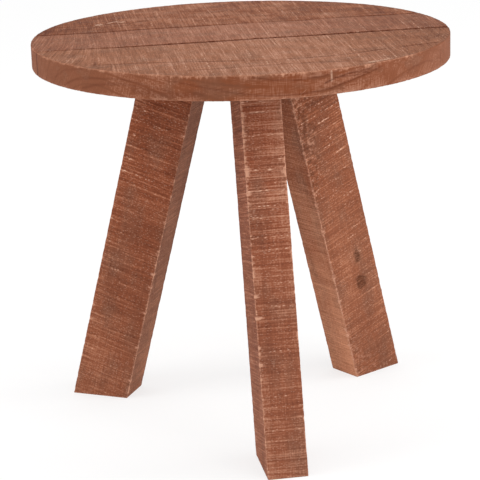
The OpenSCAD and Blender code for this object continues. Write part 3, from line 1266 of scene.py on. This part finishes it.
    def smooth_band(self, a: Array, s: Array, low: Array) -> tuple[Array, Array, Array]:
        """Works out the smoother band that runs up the outer side, by its left arris.

        Args:
            a: Distance across the leg from its axis.
            s: Distance up the leg.
            low: Whether a point lies on the outer side, below the band's upper end.

        Returns:
            Whether a point lies in the band, how much lighter it is, and its border's darkness.
        """
        limit = -self.width / 2 + self.band + 1.2 * (noise(s / 18, seed=self.seed + 63) - 0.5)
        glow = 0.05 + 0.05 * ramp(noise(s / 9, seed=self.seed + 64), 0.4, 0.8)
        border = np.where(low, np.exp(-(((a - limit) / 0.7) ** 2)), 0)
        return low & (a < limit), glow, 0.5 * border * noise(s / 12, seed=self.seed + 65)

    def build(self) -> bpy.types.Object:
        """Makes the leg with its relief and its marks.

        Returns:
            The leg's object.
        """
        node = "leg_" + self.place.word
        piece = new_piece(self.block(), node + "_sawn", self.finish().make())
        cube = points_of(piece.data)
        a, o = self.spread(cube[0]) * self.width, self.spread(cube[1]) * self.depth
        z = (cube[2] + 0.5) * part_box(node)[1].z / MM
        s = self.reach(z, o)
        gap_a, gap_o = self.width / 2 - np.abs(a), self.depth / 2 - np.abs(o)
        on_side, on_end = gap_a < NEAR, gap_o < NEAR
        cap = ~(on_side | on_end)
        corner = 2 * (a > 0) + (o > 0)

        faces = (on_side & (a > 0), on_side & (a < 0), on_end & (o > 0), on_end & (o < 0))
        relief, around, tone = self.sawn(a, o, s, faces)
        calm = np.where(faces[3], self.inner_calm, along(self.calm, s))
        torn = relief.torn * calm * calm
        depth = relief.depth
        dark, patched = np.zeros((2, len(a)))
        broad = faces[0] if self.place is LegPlace.LEFT else faces[1]
        for patch in self.patches:
            hollow, chip = [np.where(broad, share, 0) for share in patch.lumps(s, o + self.depth / 2)]
            depth = depth + 0.6 * hollow - 0.15 * chip
            # The torn hollows are darkened: painted shade
            dark, patched = np.maximum(dark, 0.42 * hollow), np.maximum(patched, chip)
        for knot in self.knots:
            dark = np.maximum(dark, np.where(faces[1], knot.darkness(s, o), 0))

        # The sides sink, the arrises are rounded and the foot's edge is eased
        teeth = noise(s / 5.2, corner * 9.7, seed=self.seed + 60)
        nibble = noise(s / 1.6, corner * 9.7, seed=self.seed + 61)
        worn = self.arris * (0.55 + 1.1 * ramp(teeth, 0.3, 1.0) + 0.6 * nibble)
        edge = np.where(on_side & on_end, 0, np.where(on_side, gap_o, gap_a))
        fade = ramp(np.minimum(np.where(on_side, gap_o, gap_a), 3), 0, 1.5)
        eased = 0.5 * ramp(z, 1.2, 0.0)
        moved = []
        for own, gap, half, near, rounded in zip(
            (a, o), (gap_a, gap_o), (self.width / 2, self.depth / 2), (on_side, on_end),
            round_over(gap_a, gap_o, worn),
        ):
            sink = np.where(near & ~(on_side & on_end), depth, 0) * fade + 0.12 * (1 - fade)
            gap = np.where(cap, gap, rounded + sink + np.where(near, eased, 0))
            moved.append(np.sign(own) * (half - gap))
        a, o = moved
        foot, up, out, across = self.axes()
        points = np.outer(self.reach(z, o), up) + np.outer(o, out) + np.outer(a, across) + np.array(foot)

        # What is rubbed pale, and the smoother band
        chips = np.choose(corner, [along(curve, s) for curve in self.worn])
        catch = np.where(on_side, 0.4 + 0.6 * ramp(relief.ridge, 0.2, 0.6), 1)
        wear = self.rubbed(s, edge, chips, catch, teeth, nibble)
        wear = np.maximum(np.where(cap, 0.1, wear), 0.7 * patched)
        scuffs = ramp(noise(a / 4, o / 4, seed=self.seed + 62), 0.4, 0.7)
        wear = np.maximum(wear, 0.6 * ramp(z, 2.2, 0.2) * scuffs)
        if self.band:
            within, glow, border = self.smooth_band(a, s, faces[2] & (s < self.band_high))
            tone, torn = np.where(within, tone + glow, tone), np.where(within, 0.3 * torn, torn)
            dark = np.maximum(dark, border)
        set_points(piece.data, points, {
            "run": np.where(cap, a, relief.run),
            "round": np.where(cap, o, around),
            "ridge": np.where(cap, 0.3, relief.ridge),
            "torn": torn,
            "wear": wear,
            "dark": dark,
            "sawn": calm,
            # Tone: partly stain, partly painted shade and light on each side
            "tone": tone,
            # Painted sheen: the sides seen at a slant look paler and greyer
            "grey_dust_and_sheen": np.select(faces, [side.grey_dust_and_sheen for side in self.sides], 0),
        })
        return settle(piece, node)


# The sides' tone curves and tilts are partly painted shade and light, such as darker under the top and
# lighter near the foot, and the sheen they are given is painted.
LEGS = (
    Leg(
        LegPlace.FRONT, 410, ("#8e5139", "#5c2e20", "#bc876d"), Figure(ridge=0.42, fibre=0.3, specks=0.4),
        sides=(
            Side(SawMarks(411), grey_dust_and_sheen=0.1),
            Side(SawMarks(422, tear=0.25), ((0, 0.02), (240, -0.06), (460, -0.02)), grey_dust_and_sheen=0.22),
            Side(SawMarks(433, strong_pitch=13.0, dash=24.0, tear=0.62), (
                (0, 0.06), (60, 0.02), (85, -0.05), (115, -0.04), (150, -0.03), (200, -0.01), (225, 0.05),
                (260, 0.05), (275, 0.0), (300, 0.08), (340, 0.05), (460, 0.20),
            ), tilt=-0.10),
            Side(SawMarks(444, tear=0.3), grey_dust_and_sheen=0.1),
        ),
        worn=(
            PLAIN_ARRIS,
            toothed(((0, 0.8), (60, 1.0), (300, 1.0), (318, 1.8), (412, 1.8), (420, 0.6)), (
                (47, 1.3), (62, 1.5), (77, 1.6), (88.5, 1.5), (106, 1.8), (122, 2.6), (142, 1.9),
                (152, 1.6), (176, 3.6), (201, 2.7), (225, 1.8), (232, 1.9), (240, 1.9), (246, 2.0),
                (270, 1.4), (295, 1.6), (306, 1.9), (319, 2.8), (346, 2.3), (369, 1.8), (386, 2.9),
                (406, 1.9),
            )),
            PLAIN_ARRIS,
            ((0, 0.6), (180, 0.8), (240, 0.7), (303, 1.2), (320, 0.8), (336, 1.2), (343, 2.4), (350, 1.2),
             (390, 0.8), (404, 1.5), (424, 1.6), (430, 0.8)),
        ),
        calm=((0, 0.7), (200, 0.75), (290, 1.0)),
        band=9.5,
    ),
    Leg(
        LegPlace.RIGHT, 520, ("#8f543a", "#5f3424", "#c78b6b"),
        Figure(lines=0.3, ridge=0.3, fibre=0.18, specks=0.55, cuts=0.2),
        sides=(
            Side(SawMarks(511)),
            Side(SawMarks(522, strong_pitch=12.0, slant=0.03, tear=0.58, lean=-0.3), (
                (0, -0.08), (60, -0.06), (110, 0.03), (170, 0.04), (210, -0.02), (250, -0.04), (460, -0.01),
            ), grey_dust_and_sheen=0.03),
            Side(SawMarks(533)),
            # Lighter towards the foot: painted light from the floor
            Side(SawMarks(544, slant=-0.03, tear=0.2), ((0, 0.30), (230, 0.12), (460, -0.06))),
        ),
        worn=(
            ((0, 1.9), (50, 1.7), (90, 1.4), (150, 1.4), (240, 1.2), (330, 1.1), (460, 1.3)),
            PLAIN_ARRIS, PLAIN_ARRIS, PLAIN_ARRIS,
        ),
        calm=((0, 0.7), (230, 0.75), (300, 1.0)),
        knots=(Knot(169.5, 8.5, 9.0, 5.0), Knot(132.5, 6.5, 9.6, 9.2)),
        patches=(
            TornPatch(262, 450, 8.0, 32.0, 1.0, 541), TornPatch(-10, 30, 60.0, 40.0, 0.55, 546),
            TornPatch(20, 84, 22.0, 8.0, 0.5, 551),
        ),
    ),
    Leg(
        LegPlace.LEFT, 630, ("#8a4d34", "#5a2d1d", "#ba8063"),
        Figure(dashes=0.3, grit=0.7, ridge=0.42, fibre=0.22, specks=0.2, cuts=0.35),
        sides=(
            # Darker towards the top: partly stain, partly painted shade under the table top
            Side(SawMarks(611, slant=-0.03, tear=0.4, lean=0.8), (
                (0, 0.08), (60, 0.05), (120, -0.03), (210, -0.03), (280, 0.0), (460, -0.12),
            ), tilt=0.07),
            Side(SawMarks(622)),
            Side(SawMarks(633)),
            Side(SawMarks(644, slant=0.03, tear=0.2), ((0, 0.10), (230, -0.02), (460, 0.04)), grey_dust_and_sheen=0.5),
        ),
        worn=(
            PLAIN_ARRIS,
            PLAIN_ARRIS,
            toothed(((0, 1.2), (200, 1.15), (290, 0.8), (330, 0.5)), (
                (16, 1.6), (34.4, 1.9), (49, 1.6), (63, 1.7), (82, 2.2), (101, 1.8), (116, 1.5),
                (131.5, 2.4), (142, 1.9), (151, 1.6), (159, 1.7), (168, 2.0), (185.5, 2.6), (198, 1.8),
                (226, 1.4), (240, 1.6), (257, 2.0), (292, 1.7), (309, 1.5), (329, 1.8), (372, 2.0),
                (384, 1.6), (400, 1.6),
            ), half=2.2),
            toothed(((0, 0.6), (300, 0.5)), (
                (15, 1.5), (45, 1.6), (75, 1.5), (100, 1.8), (118, 1.6), (150, 1.5), (165, 1.7), (185, 1.8),
                (205, 1.6), (240, 1.5), (262, 1.6), (300, 1.4), (380, 1.4),
            )),
        ),
        calm=((0, 0.62), (200, 0.75), (300, 1.0)),
        inner_calm=0.5,
        patches=(TornPatch(420, 450, 14.0, 30.0, 0.8, 641),),
    ),
)


@dataclass(frozen=True)
class ButtonBolt:
    """A zinc-plated button-head bolt with a hexagon socket, pointing up from the face under its head."""

    shank_d: float = 5.9
    length: float = 16.0
    point: float = 0.8
    head_d: float = 10.5
    head_h: float = 3.3
    crown_r: float = 2.48
    socket: float = 4.0
    socket_depth: float = 2.0
    segments: int = 48

    def build(self) -> bmesh.types.BMesh:
        """Turns the bolt about its axis, then sinks its socket.

        Returns:
            The bolt's mesh, in millimetres.
        """
        bm = bmesh.new()
        dome = self.head_d / 2 - self.crown_r
        arc = [(i / 6) * math.pi / 2 for i in range(7)]
        outline = [(self.crown_r + dome * math.sin(a), -self.head_h * math.cos(a)) for a in arc]
        outline += [(self.head_d / 2, 0.0), (self.shank_d / 2, 0.0)]
        outline += [(self.shank_d / 2, self.length - self.point)]
        outline += [(self.shank_d / 2 - self.point, self.length)]
        verts = [bm.verts.new((r, 0, z)) for r, z in dict.fromkeys(outline)]
        edges = [bm.edges.new(pair) for pair in zip(verts, verts[1:])]
        bmesh.ops.spin(
            bm, geom=verts + edges, cent=(0, 0, 0), axis=(0, 0, 1), angle=2 * math.pi,
            steps=self.segments, use_merge=True, use_duplicate=False,
        )
        bmesh.ops.remove_doubles(bm, verts=bm.verts, dist=1e-3)
        rims = [e for e in bm.edges if e.is_boundary]
        mouth = [e for e in rims if e.verts[0].co.z < 0]
        bmesh.ops.contextual_create(bm, geom=[e for e in rims if e.verts[0].co.z > 0])
        bmesh.ops.create_circle(
            bm, cap_ends=False, segments=6, radius=self.socket / 2 / math.cos(math.pi / 6),
            matrix=Matrix.Translation((0, 0, -self.head_h + 0.05)),
        )
        hexagon = [e for e in bm.edges if e.is_wire]
        bmesh.ops.subdivide_edges(bm, edges=hexagon, cuts=self.segments // 6 - 1)
        bmesh.ops.bridge_loops(bm, edges=mouth + [e for e in bm.edges if e.is_wire])
        wall = bmesh.ops.extrude_edge_only(bm, edges=[e for e in bm.edges if e.is_boundary])["geom"]
        bottom = [part for part in wall if isinstance(part, bmesh.types.BMVert)]
        bmesh.ops.translate(bm, verts=bottom, vec=(0, 0, self.socket_depth))
        bmesh.ops.contextual_create(bm, geom=[e for e in bm.edges if e.is_boundary])
        bmesh.ops.recalc_face_normals(bm, faces=bm.faces)
        return bm


@dataclass(frozen=True)
class Hardware:
    """The steel plates and their fasteners, and the dowels: finishes for the nodes, and new bolts."""

    bolt: ButtonBolt = ButtonBolt()
    bolt_side: float = 32.0
    bolt_rows: tuple[float, float] = (50.78, 127.36)

    def build(self) -> list[bpy.types.Object]:
        """Dresses the nodes and makes the bolts of each plate.

        Returns:
            The three sets of bolts.
        """
        finishes = {
            "leg_plate": POWDER_COAT.make(),
            "washers": BRIGHT_ZINC.make(),
            "leg_screws": YELLOW_ZINC.make(),
            "inserts": TURNED_BRASS.make(),
            "dowels": PLANED_BEECH.make(),
        }
        for (name, node), (prefix, material) in product(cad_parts.items(), finishes.items()):
            if name.startswith(prefix):
                node.data.materials.clear()
                node.data.materials.append(material)
                log.info("%s keeps its shape, in %s", name, material.name)
        return [self.bolts(place, finishes["washers"]) for place in LegPlace]

    def bolts(self, place: LegPlace, material: bpy.types.Material) -> bpy.types.Object:
        """Makes the four bolts of one leg's plate.

        Args:
            place: The leg.
            material: The bolts' plating.

        Returns:
            The bolts as one piece.
        """
        seat = Vector((0, 0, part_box("washers_" + place.word)[0].z / MM))
        turn = Matrix.Rotation(place.angle - math.pi / 2, 3, "Z")
        bm = self.bolt.build()
        first = [*bm.verts, *bm.edges, *bm.faces]
        for radius, side in product(self.bolt_rows, (-self.bolt_side, self.bolt_side)):
            copy = bmesh.ops.duplicate(bm, geom=first)["geom"]
            verts = [part for part in copy if isinstance(part, bmesh.types.BMVert)]
            bmesh.ops.translate(bm, verts=verts, vec=turn @ Vector((radius, side, 0)) + seat)
        spare = [part for part in first if isinstance(part, bmesh.types.BMVert)]
        bmesh.ops.delete(bm, geom=spare, context="VERTS")
        bmesh.ops.scale(bm, vec=(MM, MM, MM), verts=bm.verts)
        piece = new_piece(bm, f"button_bolts_{place.word}", material, smooth=False)
        return settle(piece, "plate_bolts_" + place.word)


@dataclass(frozen=True)
class Studio:
    """A plain white floor, soft lamps and the photograph's camera. Lengths are in metres."""

    focal_px: float = 1868.3
    frame_px: float = 480.0
    sensor_mm: float = 36.0
    distance: float = 2.3015
    elevation: float = math.radians(16.05)
    azimuth: float = math.radians(-9.615)
    roll: float = math.radians(1.734)
    centre_px: tuple[float, float] = (246.17, 224.22)
    floor_r: float = 9.0
    ambient: float = 0.90
    lamp_side: float = 1.5
    lamp_aim: tuple[float, float, float] = (0, 0, 0.25)

    def camera(self) -> None:
        """Places the camera where the photograph was taken."""
        e, a = self.elevation, self.azimuth
        back = Vector((math.sin(a) * math.cos(e), -math.cos(a) * math.cos(e), math.sin(e)))
        right = Vector((math.cos(a), math.sin(a), 0))
        up = back.cross(right)
        c, s = math.cos(self.roll), math.sin(self.roll)
        data = bpy.data.cameras.new("camera")
        data.sensor_width = self.sensor_mm
        data.lens = self.focal_px / self.frame_px * self.sensor_mm
        data.shift_x = (self.frame_px / 2 - self.centre_px[0]) / self.frame_px
        data.shift_y = (self.centre_px[1] - self.frame_px / 2) / self.frame_px
        view = bpy.data.objects.new("camera", data)
        axes = Matrix((right * c - up * s, right * s + up * c, back)).transposed()
        aim = Vector((0, 0, CAD_BOX[1].z / 2))
        view.matrix_world = Matrix.Translation(aim + back * self.distance) @ axes.to_4x4()
        bpy.context.scene.collection.objects.link(view)
        bpy.context.scene.camera = view

    def floor(self) -> None:
        """Lays the floor, white to the camera, with the table's soft shadow on it."""
        bm = bmesh.new()
        bmesh.ops.create_circle(bm, cap_ends=True, segments=96, radius=self.floor_r)
        material, shader = new_material("white_floor")
        plain = shader.add("BsdfDiffuse", {"Color": linear("#f4f4f4")}).outputs[0]
        white = shader.add("BsdfDiffuse", {"Color": (1, 1, 1, 1)}).outputs[0]
        glow = shader.add("Emission", {"Color": (1, 1, 1, 1), "Strength": 1.0}).outputs[0]
        shown = shader.add("MixShader", {0: 0.7, 1: white, 2: glow}).outputs[0]
        shader.end(shader.add("MixShader", {0: shader.backdrop(), 1: plain, 2: shown}).outputs[0])
        floor = new_piece(bm, "floor", material)

    def lamp(self, name: str, place: tuple[float, float, float], power: float) -> None:
        """Hangs one soft square lamp that points at the table.

        Args:
            name: The lamp's name.
            place: Where it hangs.
            power: Its power in watts.
        """
        data = bpy.data.lights.new(name, "AREA")
        data.size = self.lamp_side
        data.energy = power
        lamp = bpy.data.objects.new(name, data)
        lamp.location = place
        lamp.rotation_euler = (Vector(self.lamp_aim) - Vector(place)).to_track_quat("-Z", "Y").to_euler()
        bpy.context.scene.collection.objects.link(lamp)

    def world(self) -> None:
        """Sets an even sky: white to the camera, softer on the table."""
        world = bpy.data.worlds.new("studio")
        bpy.context.scene.world = world
        world.use_nodes = True
        shader = Shader(world.node_tree, "OutputWorld")
        level = shader.share(shader.backdrop(), 0.0, 1.0, 1.0, self.ambient)
        shader.end(shader.add("Background", {"Color": (1, 1, 1, 1), "Strength": level}).outputs[0])

    def build(self) -> None:
        """Sets up the whole studio."""
        self.camera()
        self.floor()
        self.world()
        self.lamp("right", (2.6, -0.3, 1.2), 32.0)
        self.lamp("left", (-2.6, -0.4, 1.2), 26.0)
        self.lamp("front", (1.7, -2.1, 1.3), 14.0)
        bpy.context.scene.view_settings.view_transform = "Standard"


def main() -> None:
    """Builds the studio and the table's looks, in order."""
    logging.basicConfig(level=logging.INFO, format="%(name)s: %(message)s")
    Studio().build()
    pieces = [part.build() for part in BOARDS + LEGS] + Hardware().build()
    log.info("%d new pieces", len(pieces))


if __name__ == "__main__":
    main()
